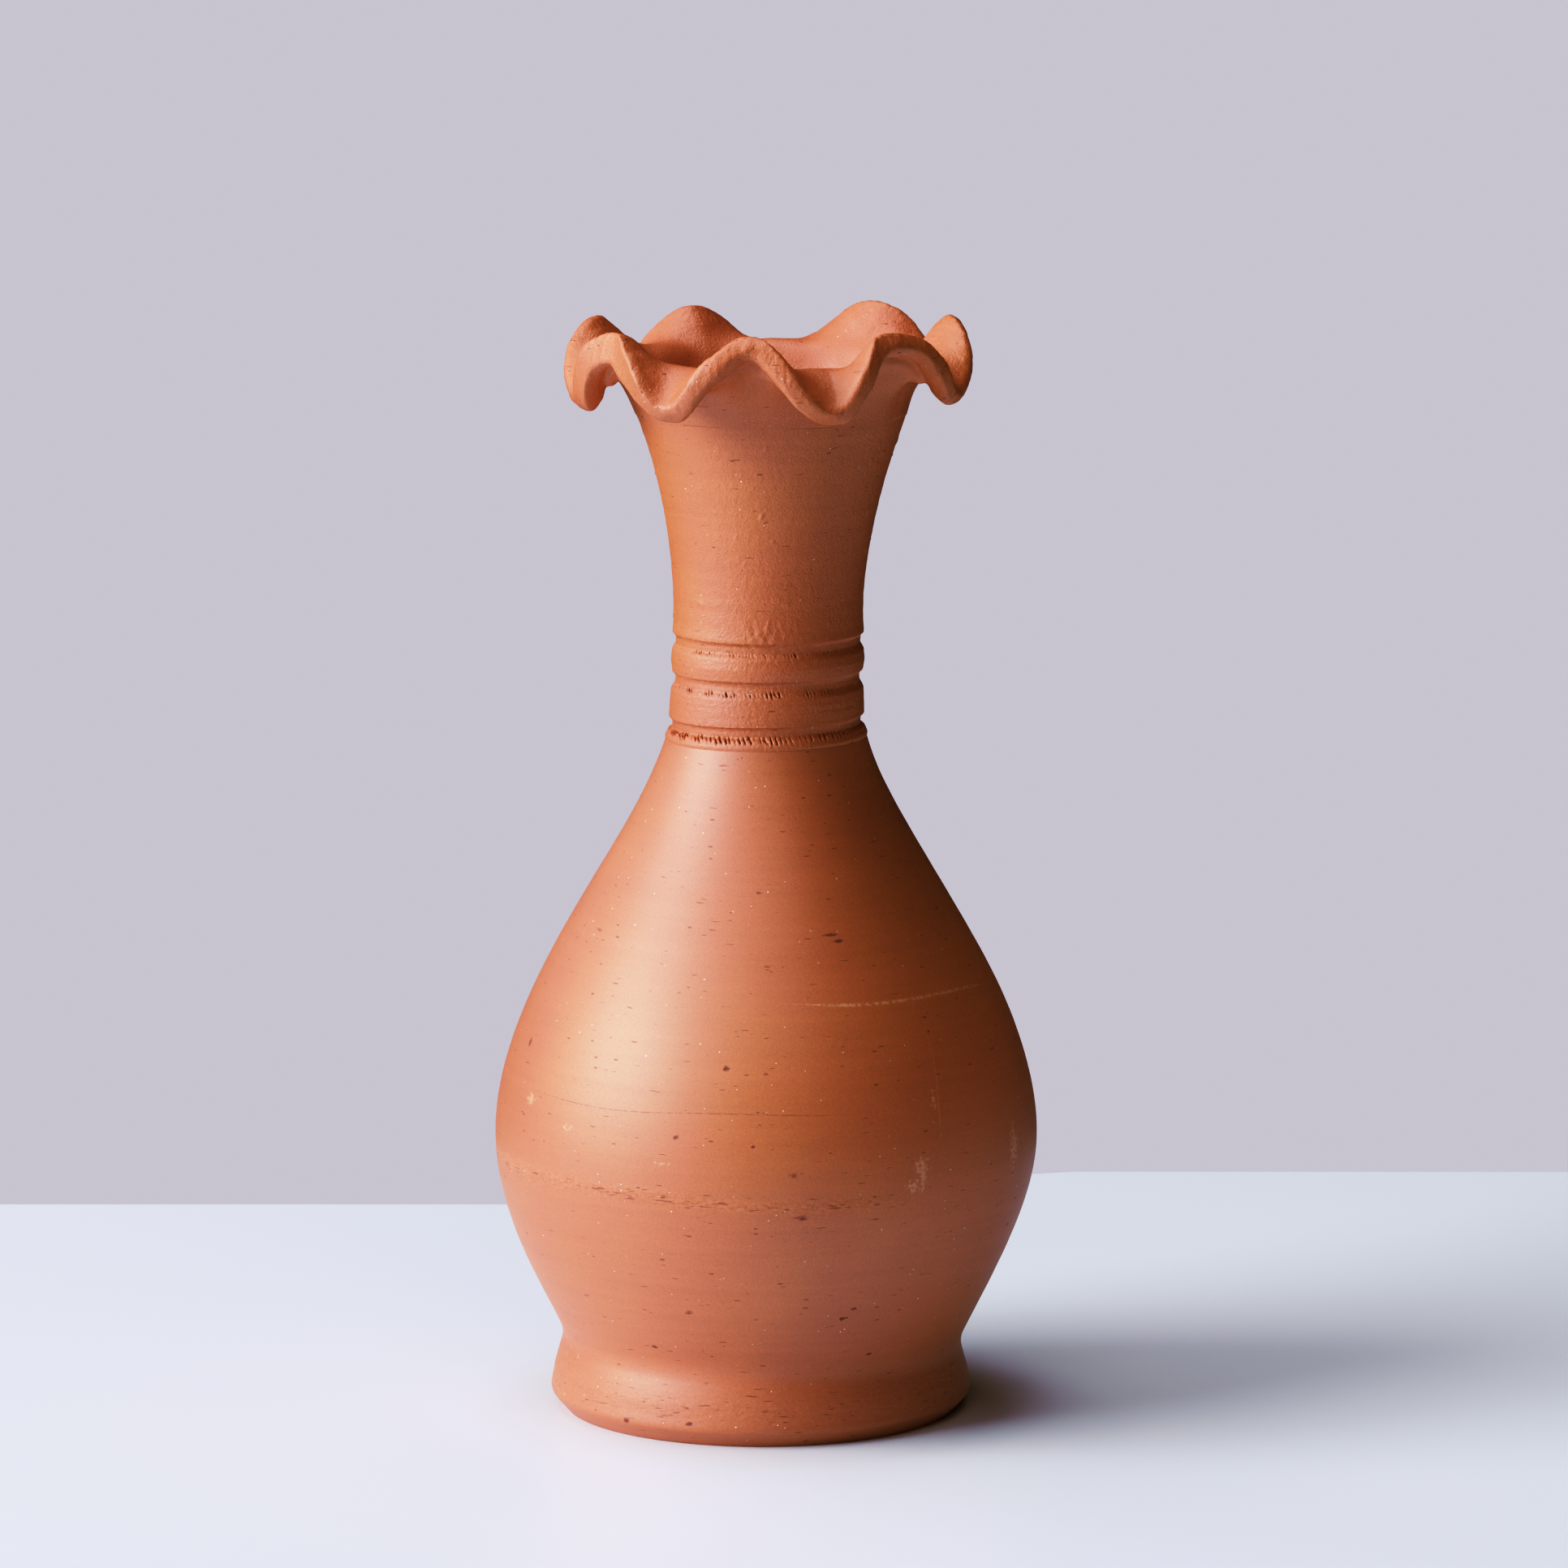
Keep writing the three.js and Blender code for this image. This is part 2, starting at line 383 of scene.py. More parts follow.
def thrown_wall(name, outside, inside, facets, shape, work_outside, work_inside, material):
    """A section of wall between two level joint faces, with its surfaces worked by hand and tool.

    work_outside and work_inside say how far each point of a face moves outwards from the clay."""
    loop, n_out, n_top, n_in = wall_loop(outside, inside)
    angles = np.arange(facets) / facets * 2 * math.pi
    points = on_circle(loop, angles)
    face_normals = np.zeros((len(loop), 2))
    face_normals[:n_out] = outward(outside)
    inner = slice(n_out + n_top, n_out + n_top + n_in)
    face_normals[inner] = -outward(inside)[::-1]
    moves = np.zeros(points.shape[:2])
    moves[:, :n_out] = work_outside(points[:, :n_out], shape)
    moves[:, inner] = work_inside(points[:, inner], shape)
    sine, cosine = np.sin(angles)[:, None], np.cos(angles)[:, None]
    points[..., 0] += moves * face_normals[:, 0] * sine
    points[..., 1] -= moves * face_normals[:, 0] * cosine
    points[..., 2] += moves * face_normals[:, 1]
    return ring_mesh(name, uneven(points, shape), material, shade_in_hollows(moves))


# ---------------------------------------------------------------------------------------------
# Outlines
# ---------------------------------------------------------------------------------------------


def fill_crease(line):
    """Rounds the crease between the foot and the bowl."""
    deep, reach = CREASE_FILLET
    near = np.clip(1 - np.abs(line[:, 1] - CREASE_Z) / reach, 0, 1)
    return line + np.stack([deep * near**2, 0 * near], axis=-1)


def body_outline(step):
    """The outside of the bowl, from the foot's crease up to the collar."""
    crease = (CREASE_RADIUS - CREASE_FILLET[0], CREASE_Z)
    below = fill_crease(bezier([crease, (48.6, 25), (BELLY_RADIUS, 44), (BELLY_RADIUS, BELLY_Z)], step))
    above = bezier(
        [(BELLY_RADIUS, BELLY_Z), (BELLY_RADIUS, 97.4), (30.8, 128.5), (SHOULDER_RADIUS, SHOULDER_Z)], step)
    return np.concatenate([below, above[1:]])


def split_at(line, height):
    """The parts of a rising line below and above a height, which both share the point at it."""
    radius = np.interp(height, line[:, 1], line[:, 0])
    joint = np.array([[radius, height]])
    below, above = line[line[:, 1] < height - 0.2], line[line[:, 1] > height + 0.2]
    return np.concatenate([below, joint]), np.concatenate([joint, above])


def inner_face(outline, shape, step):
    """The inside of a wall: the outline moved in by the wall's thickness, ending level with it."""
    inner = outline - outward(outline) * shape.wall / MM
    inner = inner[(inner[:, 1] > outline[0, 1]) & (inner[:, 1] < outline[-1, 1])]
    low = [outline[0, 0] - shape.wall / MM, outline[0, 1]]
    high = [outline[-1, 0] - shape.wall / MM, outline[-1, 1]]
    return even(np.concatenate([[low], inner[2:-2], [high]]), step)


# Up the collar: three beads, each with the floor and the crisp upper edge of the groove over it.
COLLAR_OUTLINE = [
    (SHOULDER_RADIUS, SHOULDER_Z), (23.05, 155.8), (22.35, 157.3),
    (21.35, 157.8), (21.4, 159.3), (21.75, 160.0), (22.2, 160.2), (22.0, 164.8), (21.85, 166.5),
    (20.95, 168.0), (20.85, 169.4), (21.2, 170.2), (21.65, 170.4), (22.0, 173.0), (21.75, 175.4),
    (20.9, 176.8), (21.0, 178.4), (COLLAR_TOP_RADIUS, COLLAR_TOP_Z),
]


def neck_outline(step):
    flare = [(COLLAR_TOP_RADIUS, COLLAR_TOP_Z), (21.75, 179.6), (21.65, 180.6), (21.55, 182.5)]
    rise = bezier([(21.55, 182.5), (21.5, 190), (22.1, 206.5), (ROOT_RADIUS, ROOT_Z)], step)
    return np.concatenate([rounded(flare, step, 0.5)[:-1], rise])


# ---------------------------------------------------------------------------------------------
# Lip
# ---------------------------------------------------------------------------------------------

# Crests and dips of the ruffle, in order round the lip from the front to the right: the angle in degrees,
# the edge's radius and height in millimetres, the way the edge points in degrees above level, how thick the
# edge is against the usual, and how round it is (1 for a round edge, less for a flat one with sharp arrises).
RUFFLE = [
    (-4, 41.6, 248.0, 40, 1.12, 0.75), (14, 43.2, 235.2, -44, 1.08, 0.75), (21, 43.4, 234.2, -48, 1.05, 0.75),
    (28.6, 42.6, 241.0, -4, 1.05, 0.75), (34.5, 41.8, 246.6, 30, 1.05, 0.7), (42, 41.6, 248.1, 40, 1.0, 0.65),
    (52, 41.6, 246.3, 34, 1.0, 0.65), (59.5, 42.0, 241.4, 0, 1.05, 0.7), (66.5, 42.3, 236.3, -38, 1.1, 0.8),
    (76, 42.2, 235.8, -40, 1.1, 0.8), (93, 42.0, 246.9, 34, 1.0, 0.8), (103, 41.9, 247.4, 40, 1.0, 0.8),
    (120, 42.5, 237.4, -20, 1.0, 0.8), (138, 41.5, 247.3, 40, 1.0, 0.8), (150, 41.3, 247.6, 42, 1.0, 0.8),
    (177, 42.8, 235.4, -30, 1.0, 0.8), (204.8, 40.8, 246.9, 42, 1.0, 0.8), (225, 42.5, 237.2, -20, 1.0, 0.8),
    (242, 41.2, 245.3, 36, 1.0, 0.8), (256, 40.8, 246.2, 36, 1.1, 0.8), (277, 42.3, 234.6, -44, 1.25, 0.8),
    (287, 42.3, 234.8, -42, 1.3, 0.7), (298, 41.8, 243.8, 8, 1.4, 0.4), (308, 41.5, 246.3, 14, 1.5, 0.35),
    (316, 42.0, 242.6, -4, 1.4, 0.4), (330, 43.4, 234.0, -50, 1.12, 0.7), (344, 42.6, 243.2, 14, 1.15, 0.75),
]
MID_SLOPE_SPREAD = 1.8     # how much further out the edge stands between a crest and a dip, in millimetres
RUFFLE_MIDDLE = 241.0      # the height about which the ruffle rises and falls
RUFFLE_RISE = 6.8
ROOT_WALL = 4.5            # the lip's thickness where it leaves the neck


def ruffle_at(angles):
    """The lip edge's radius, height, tilt, thickness and roundness at each angle, through the marks."""
    marks = np.array(RUFFLE, float)
    turn = np.array([360, 0, 0, 0, 0, 0])
    marks = np.concatenate([marks[-2:] - turn, marks, marks[:3] + turn])
    at, values = marks[:, 0], marks[:, 1:]
    slopes = np.gradient(values, axis=0) / np.gradient(at)[:, None]
    degrees = (np.degrees(angles) - at[2]) % 360 + at[2]
    index = np.searchsorted(at, degrees, side="right") - 1
    gap = (at[index + 1] - at[index])[:, None]
    share = (degrees - at[index])[:, None] / gap
    curve = (
        (1 + 2 * share) * (1 - share) ** 2 * values[index] + share * (1 - share) ** 2 * gap * slopes[index]
        + share**2 * (3 - 2 * share) * values[index + 1] + share**2 * (share - 1) * gap * slopes[index + 1]
    )
    radius, height, tilt, thickness, roundness = curve.T
    level = np.clip((height - RUFFLE_MIDDLE) / RUFFLE_RISE, -1, 1)
    return radius + MID_SLOPE_SPREAD * (1 - level**2), height, tilt, thickness, roundness


def lip_middle(radius, height, tilt, steps):
    """The middle of the lip's wall at one angle, from the neck to the edge, with its directions."""
    crest = (height - RUFFLE_MIDDLE) / RUFFLE_RISE
    lean = math.radians(tilt)
    root = np.array([ROOT_RADIUS - ROOT_WALL / 2, ROOT_Z])
    edge = np.array([radius, height])
    rise = root + np.array([0.34, 0.94]) * (12.4 - 4.0 * crest)
    reach = edge - np.array([math.cos(lean), math.sin(lean)]) * (9 - 3 * crest)
    t = np.linspace(0, 1, steps)[:, None]
    middle = (1 - t) ** 3 * root + 3 * (1 - t) ** 2 * t * rise + 3 * (1 - t) * t**2 * reach + t**3 * edge
    heading = (
        3 * (1 - t) ** 2 * (rise - root) + 6 * (1 - t) * t * (reach - rise) + 3 * t**2 * (edge - reach))
    return middle, heading / np.linalg.norm(heading, axis=1)[:, None]


def lip_loop(radius, height, tilt, edge_thickness, roundness, steepness, steps, turns):
    """One closed loop of the lip's section: up the outside, round the edge, down the inside, over the root.

    Where the edge climbs steeply round the lip, its section is taller, so the rim keeps its thickness."""
    middle, heading = lip_middle(radius, height, tilt, steps)
    along = np.linspace(0, 1, steps)
    half = 0.5 * (ROOT_WALL + (edge_thickness - ROOT_WALL) * along**2 - 0.8 * bell(along, 0.65, 0.16))
    undercut = 1.0 * bell(along, 0.86, 0.06)
    taller = 1 + (math.sqrt(1 + steepness**2) - 1) * along**2
    away = np.stack([heading[:, 1], -heading[:, 0] * taller], axis=-1)
    away[0] = (1, 0)
    outside = middle + away * (half - undercut)[:, None]
    inside = middle - away * half[:, None]
    swing = np.radians(np.linspace(-90, 90, turns + 2)[1:-1])
    across = np.sign(swing) * np.abs(np.sin(swing)) ** roundness * edge_thickness / 2
    ahead = np.cos(swing) ** roundness * edge_thickness * 0.5 * roundness**0.5
    sideways = np.array([heading[-1, 1], -heading[-1, 0]])
    end = middle[-1] + heading[-1] * ahead[:, None] - sideways * across[:, None]
    end[:, 1] = middle[-1, 1] + (end[:, 1] - middle[-1, 1]) * taller[-1]
    root = np.linspace(inside[0], outside[0], 8)[1:-1]
    return np.concatenate([outside, end, inside[::-1], root])


def ruffled_lip(shape, material):
    facets, steps, turns = 720, 46, 16
    angles = np.arange(facets) / facets * 2 * math.pi
    radius, height, tilt, thickness, roundness = ruffle_at(angles)
    steepness = (np.roll(height, -1) - np.roll(height, 1)) / (angles[2] * radius)
    thickness = thickness * shape.lip_thickness / MM
    loops = np.array([
        lip_loop(radius[i], height[i], tilt[i], thickness[i], roundness[i], steepness[i], steps, turns)
        for i in range(facets)
    ])
    sine, cosine = np.sin(angles)[:, None], np.cos(angles)[:, None]
    points = np.stack([loops[..., 0] * sine, -loops[..., 0] * cosine, loops[..., 1]], axis=-1)
    across = np.roll(points, -1, axis=0) - np.roll(points, 1, axis=0)
    along = np.roll(points, -1, axis=1) - np.roll(points, 1, axis=1)
    normals = np.cross(across, along)
    normals /= np.linalg.norm(normals, axis=2)[..., None]
    flat = points.reshape(-1, 3)
    lift = np.clip((flat[:, 2] - ROOT_Z) / 5, 0, 1)
    lumps = 0.3 * clay_noise(flat, 14, 3.1) + 0.16 * clay_noise(flat, 4.5, 7.7)
    edge_sand = bell(np.arange(points.shape[1]), steps + turns / 2, steps * 0.42)
    sand = 0.17 * clay_noise(flat, 1.0, 1.3) * np.tile(edge_sand, facets)
    moves = ((lumps + sand) * lift + wall_waver(flat, shape) * (1 - lift)).reshape(points.shape[:2])
    points += normals * moves[..., None]
    return ring_mesh("ruffled_lip_clay", uneven(points, shape), material, shade_in_hollows(moves))


# ---------------------------------------------------------------------------------------------
# Work on the wall
# ---------------------------------------------------------------------------------------------


def wall_waver(points, shape):
    """Slow swellings of a hand-thrown wall."""
    return shape.hand_waver / MM * clay_noise(points, (38, 38, 26), 11.3)


def turned_body(points, shape):
    """The outside of the bowl: slow swellings and faint rings, rubbed down by burnishing."""
    flat = points.reshape(-1, 3)
    turn = np.arctan2(flat[:, 0], -flat[:, 1]) / (2 * math.pi)
    strength = 0.5 + 0.5 * clay_noise(flat, (50, 50, 18), 2.0)
    rings = np.sin((flat[:, 2] / 7.5 + turn) * 2 * math.pi) * strength
    fine = clay_noise(flat * (0.02, 0.02, 1), 1.3, 5.0) * 0.004
    moves = wall_waver(flat, shape) + shape.throwing_rings / MM * rings + fine
    return moves.reshape(points.shape[:2])


def turned_foot(points, shape):
    """The foot's outside, turned when drier than the bowl: the tool left short level tears in its face."""
    flat = points.reshape(-1, 3)
    tears = np.clip(clay_noise(flat, (7, 7, 0.75), 17.0) - 0.3, 0, 1)
    band = bell(flat[:, 2], 8.5, 5.5)
    moves = turned_body(points, shape) * np.clip(points[..., 2] / 2, 0, 1)
    return moves - 0.12 * (tears * band).reshape(points.shape[:2])


def finger_ridges(points, shape):
    """The inside, never turned: a spiral of finger ridges."""
    flat = points.reshape(-1, 3)
    turn = np.arctan2(flat[:, 0], -flat[:, 1]) / (2 * math.pi)
    ridges = 0.45 * np.sin((flat[:, 2] / 9 + turn) * 2 * math.pi) + 0.25 * clay_noise(flat, (30, 30, 8), 4.4)
    return ridges.reshape(points.shape[:2])


def shallow_ridges(points, shape):
    """The ridges of the narrow bore, where only a finger fits."""
    return 0.5 * finger_ridges(points, shape)


def neck_inside(points, shape):
    """Shallow finger ridges, smoothed away where the lip is joined on."""
    ridged = np.clip((ROOT_Z - points[..., 2]) / 9, 0, 1)
    waver = wall_waver(points.reshape(-1, 3), shape).reshape(points.shape[:2])
    return shallow_ridges(points, shape) * ridged + waver * (1 - ridged)


def untouched(points, shape):
    """A face left as the wheel and the knife made it."""
    return np.zeros(points.shape[:2])


def torn_edge(points, level, reach, spacing, seed):
    """Small slanting tears that come and go round a groove's lower edge, where the turning tool dragged."""
    turn = np.arctan2(points[:, 0], -points[:, 1])
    radius = np.hypot(points[:, 0], points[:, 1])
    ring = np.stack([np.sin(turn), np.cos(turn), np.full_like(turn, seed)], axis=-1)
    drift = level + 0.2 * clay_noise(ring, 0.35, seed)
    come_and_go = np.clip(0.6 + 1.6 * clay_noise(ring, 0.2, seed + 3), 0, 1)
    around = turn * radius + 0.5 * (points[:, 2] - level) + 0.5 * clay_noise(ring, 0.05, seed + 9)
    tear = np.clip(np.cos(around / spacing * 2 * math.pi), 0, 1) ** 2
    depth = np.clip(0.75 + 1.4 * clay_noise(ring, 0.045, seed + 5), 0, 1.3)
    return -tear * depth * come_and_go * bell(points[:, 2], drift, reach)


def smeared_patch(points):
    """A rough smear of slip at the front, just above the collar."""
    turn = np.arctan2(points[:, 0], -points[:, 1])
    patch = bell(turn, 0.0, 0.3) * bell(points[:, 2], 181.5, 3.4)
    rough = 0.7 * clay_noise(points, (2.3, 2.3, 1.2), 14.3) + clay_noise(points, (1.1, 1.1, 0.9), 2.6)
    return patch * (0.05 + 0.2 * rough)


def crumbs(points):
    """A few crumbs of clay stuck to the wall."""
    return 0.9 * np.clip(clay_noise(points, 2.1, 31.0) - 0.52, 0, 1)


def turned_collar(points, shape):
    """The collar's outside: grooves cut with a tool, with torn lower edges and a rough front patch."""
    flat = points.reshape(-1, 3)
    moves = wall_waver(flat, shape) + 0.05 * clay_noise(flat * (0.03, 0.03, 1), 0.7, 8.8)
    moves += 0.05 * clay_noise(flat, 0.9, 6.1)
    moves += torn_edge(flat, 157.35, 0.6, 1.2, 21.0)
    moves += torn_edge(flat, 167.6, 0.45, 0.95, 35.0)
    moves += 0.4 * torn_edge(flat, 176.5, 0.4, 0.8, 53.0)
    moves += smeared_patch(flat)
    return moves.reshape(points.shape[:2])


def plain_outside(points, shape):
    """The neck's outside, wiped with a wet sponge: faint rings, a little sand and a few crumbs."""
    flat = points.reshape(-1, 3)
    fine = 0.05 * clay_noise(flat * (0.05, 0.05, 1), 1.6, 8.8) + 0.05 * clay_noise(flat, 1.4, 3.3)
    fine += crumbs(flat)
    below_lip = np.clip((ROOT_Z - flat[:, 2]) / 5, 0, 1)
    moves = wall_waver(flat, shape) + smeared_patch(flat) + fine * below_lip
    return moves.reshape(points.shape[:2])


# ---------------------------------------------------------------------------------------------
# Materials
# ---------------------------------------------------------------------------------------------


def add_node(tree, kind, inputs=None, **settings):
    """Adds a node, sets its properties, and sets its inputs or links them from sockets or whole nodes."""
    made = tree.nodes.new(kind)
    for name, value in settings.items():
        setattr(made, name, value)
    for key, value in (inputs or {}).items():
        if isinstance(value, bpy.types.Node):
            value = value.outputs[0]
        if isinstance(value, bpy.types.NodeSocket):
            tree.links.new(value, made.inputs[key])
        else:
            made.inputs[key].default_value = value
    return made


def per_metre(size_mm):
    """A texture scale that gives features of about that size."""
    return 1 / (size_mm * MM)


def between(value, low, high, out_low=0.0, out_high=1.0):
    """Inputs for a range node: the value's way from low to high, given as from out_low to out_high."""
    return {"Value": value, "From Min": low, "From Max": high, "To Min": out_low, "To Max": out_high}


def terracotta(name, look, roughness, relief, coat):
    """Fired earthenware, unglazed: patchy orange-brown, with fine sand, dark iron grit and mica painted
    bright as glints, and with painted shade in its hollows, tears and cut line.
    """
    material = bpy.data.materials.new(name)
    material.use_nodes = True
    tree = material.node_tree
    shader = tree.nodes["Principled BSDF"]
    place = add_node(tree, "ShaderNodeTexCoord").outputs["Object"]
    along_rings = add_node(tree, "ShaderNodeMapping", {"Vector": place, "Scale": (0.05, 0.05, 1)})
    dragged = add_node(tree, "ShaderNodeMapping", {"Vector": place, "Scale": (0.36, 0.36, 1)})
    marks = add_node(tree, "ShaderNodeSeparateXYZ", {
        0: add_node(tree, "ShaderNodeAttribute", attribute_name="marks").outputs["Vector"]})
    lines = add_node(tree, "ShaderNodeSeparateXYZ", {
        0: add_node(tree, "ShaderNodeAttribute", attribute_name="lines").outputs["Vector"]})

    # The fire's patches, the rings of turning and the sand in the clay.
    slip = add_node(tree, "ShaderNodeTexNoise", {"Vector": place, "Scale": per_metre(46)})
    slip = add_node(tree, "ShaderNodeMapRange", between(slip, 0.4, 0.65, 0.0, 0.6),
                    interpolation_type="SMOOTHSTEP")
    fire = add_node(tree, "ShaderNodeTexNoise", {"Vector": place, "Scale": per_metre(70), "Detail": 3.0})
    fire = add_node(tree, "ShaderNodeMapRange", between(fire, 0.45, 0.66, 0.0, 0.8),
                    interpolation_type="SMOOTHSTEP")
    patches = add_node(tree, "ShaderNodeMix", {0: slip, 6: (*look.clay, 1), 7: (*look.yellow_clay, 1)},
                       data_type="RGBA").outputs[2]
    patches = add_node(tree, "ShaderNodeMix", {0: fire, 6: patches, 7: (*look.red_clay, 1)},
                       data_type="RGBA").outputs[2]
    rings = add_node(tree, "ShaderNodeTexNoise", {
        "Vector": along_rings, "Scale": per_metre(1.8), "Detail": 3.0})
    sand = add_node(tree, "ShaderNodeTexNoise", {"Vector": place, "Scale": per_metre(0.42), "Detail": 2.0})
    shade = add_node(tree, "ShaderNodeMath", {
        0: add_node(tree, "ShaderNodeMapRange", between(rings, 0.3, 0.7, 0.965, 1.035)),
        1: add_node(tree, "ShaderNodeMapRange", between(sand, 0.3, 0.7, 0.92, 1.08))}, operation="MULTIPLY")
    clay = add_node(tree, "ShaderNodeVectorMath", {0: patches, 3: shade}, operation="SCALE")

    # Fine grit, drawn out sideways where the tool dragged it, in cells of which some hold a grain, and the
    # painted shade of tears and hollows, all in the grit colour.
    fine_cells = add_node(tree, "ShaderNodeTexVoronoi", {"Vector": dragged, "Scale": per_metre(1.9)})
    fine_size = add_node(tree, "ShaderNodeSeparateColor", {0: fine_cells.outputs["Color"]})
    fine_size = add_node(tree, "ShaderNodeMapRange", between(fine_size, 0.66, 0.86, 0.0, 0.12))
    fine_grit = add_node(tree, "ShaderNodeMath", {0: fine_cells.outputs["Distance"], 1: fine_size},
                         operation="LESS_THAN")
    ragged = add_node(tree, "ShaderNodeTexNoise", {"Vector": place, "Scale": per_metre(0.8), "Detail": 2.0})
    shaken = add_node(tree, "ShaderNodeVectorMath", {
        0: ragged.outputs["Color"], 1: (1.3 * MM, 1.3 * MM, 1.3 * MM), 2: dragged}, operation="MULTIPLY_ADD")
    coarse_cells = add_node(tree, "ShaderNodeTexVoronoi", {"Vector": shaken, "Scale": per_metre(7.5)})
    coarse_size = add_node(tree, "ShaderNodeSeparateColor", {0: coarse_cells.outputs["Color"]})
    coarse_size = add_node(tree, "ShaderNodeMapRange", between(coarse_size, 0.72, 1.0, 0.0, 0.05))
    coarse_grit = add_node(tree, "ShaderNodeMath", {0: coarse_cells.outputs["Distance"], 1: coarse_size},
                           operation="LESS_THAN")
    # Dark dashes, most of them in the torn band: painted shade of the small tears there.
    tears = add_node(tree, "ShaderNodeMapping", {"Vector": place, "Scale": (0.16, 0.16, 1)})
    tears = add_node(tree, "ShaderNodeTexNoise", {"Vector": tears, "Scale": per_metre(0.55), "Detail": 1.0})
    tears = add_node(tree, "ShaderNodeMath", {0: marks.outputs["Z"], 1: 0.1, 2: tears},
                     operation="MULTIPLY_ADD")
    tears = add_node(tree, "ShaderNodeMapRange", between(tears, 0.72, 0.78, 0.0, 0.6))
    # Painted shade in the wall's hollows, mixed with the real iron grit inclusions, both drawn in the grit
    # colour.
    grit_and_hollow_shade = add_node(tree, "ShaderNodeMath", {0: ragged, 1: 0.5, 2: marks.outputs["X"]},
                       operation="MULTIPLY_ADD")
    grit_and_hollow_shade = add_node(tree, "ShaderNodeMapRange", between(grit_and_hollow_shade, 0.72, 0.98, 0.0, 0.9))
    # Real grit grains, with the painted shade of the hollows and tears.
    grit_and_shade = add_node(tree, "ShaderNodeMath", {0: fine_grit, 1: 0.62}, operation="MULTIPLY")
    grit_and_shade = add_node(tree, "ShaderNodeMath", {0: grit_and_shade, 1: coarse_grit}, operation="MAXIMUM")
    grit_and_shade = add_node(tree, "ShaderNodeMath", {0: grit_and_shade, 1: grit_and_hollow_shade}, operation="MAXIMUM")
    grit_and_shade = add_node(tree, "ShaderNodeMath", {0: grit_and_shade, 1: tears}, operation="MAXIMUM")

    # Scuffs and scratches, broken up by the sand; the cut line is painted shade in its groove.
    scuffs = add_node(tree, "ShaderNodeMath", {0: marks.outputs["Y"], 1: 0.55, 2: ragged},
                      operation="MULTIPLY_ADD")
    scuffs = add_node(tree, "ShaderNodeMapRange", between(scuffs, 0.8, 0.98, 0.0, 0.75))
    # The cut line's groove is drawn dark: painted shade.
    cut_line_shade = add_node(tree, "ShaderNodeMath", {0: lines.outputs["X"]}, operation="ABSOLUTE")
    cut_line_shade = add_node(tree, "ShaderNodeMapRange", between(cut_line_shade, 0.02, 0.18, 0.5, 0.0))
    scored = add_node(tree, "ShaderNodeMath", {0: lines.outputs["Y"]}, operation="ABSOLUTE")
    scored = add_node(tree, "ShaderNodeMapRange", between(scored, 0.1, 0.5, 0.9, 0.0))
    faint = add_node(tree, "ShaderNodeMath", {0: lines.outputs["Z"]}, operation="ABSOLUTE")
    faint = add_node(tree, "ShaderNodeMapRange", between(faint, 0.02, 0.24, 0.6, 0.0))
    scored = add_node(tree, "ShaderNodeMath", {0: scored, 1: faint}, operation="MAXIMUM")
    broken = add_node(tree, "ShaderNodeMapRange", between(ragged, 0.36, 0.56))
    cut_line_shade = add_node(tree, "ShaderNodeMath", {0: cut_line_shade, 1: broken}, operation="MULTIPLY")
    scored = add_node(tree, "ShaderNodeMath", {0: scored, 1: broken}, operation="MULTIPLY")
    pale = add_node(tree, "ShaderNodeMath", {0: scuffs, 1: scored}, operation="MAXIMUM")
    dust = add_node(tree, "ShaderNodeMapRange", between(ragged, 0.42, 0.6, 0.0, 0.22))
    dust = add_node(tree, "ShaderNodeMath", {0: dust, 1: marks.outputs["Z"]}, operation="MULTIPLY")
    pale = add_node(tree, "ShaderNodeMath", {0: pale, 1: dust}, operation="MAXIMUM")

    # Mica, in small bright flakes, painted near white as glints.
    flakes = add_node(tree, "ShaderNodeTexVoronoi", {"Vector": place, "Scale": per_metre(1.7)})
    flake_size = add_node(tree, "ShaderNodeSeparateColor", {0: flakes.outputs["Color"]}).outputs["Green"]
    flake_size = add_node(tree, "ShaderNodeMapRange", between(flake_size, 0.6, 1.0, 0.0, 0.1))
    mica_glint = add_node(tree, "ShaderNodeMath", {0: flakes.outputs["Distance"], 1: flake_size},
                    operation="LESS_THAN")

    # Everything drawn in the grit colour: real grit, and painted shade in hollows, tears and the cut line.
    dark = add_node(tree, "ShaderNodeMath", {0: grit_and_shade, 1: cut_line_shade}, operation="MAXIMUM")
    colour = clay
    for amount, paint in ((pale, look.chalk), (dark, look.grit_and_shade), (mica_glint, look.mica_glint)):
        colour = add_node(tree, "ShaderNodeMix", {0: amount, 6: colour, 7: (*paint, 1)},
                          data_type="RGBA").outputs[2]
    tree.links.new(colour, shader.inputs["Base Color"])

    dull = add_node(tree, "ShaderNodeMath", {0: dark, 1: marks.outputs["Z"]}, operation="MAXIMUM")
    gloss = add_node(tree, "ShaderNodeMapRange", between(dull, 0.0, 1.0, roughness, 0.8))
    gloss = add_node(tree, "ShaderNodeMath", {0: mica_glint, 1: -0.3, 2: gloss}, operation="MULTIPLY_ADD")
    tree.links.new(gloss.outputs[0], shader.inputs["Roughness"])

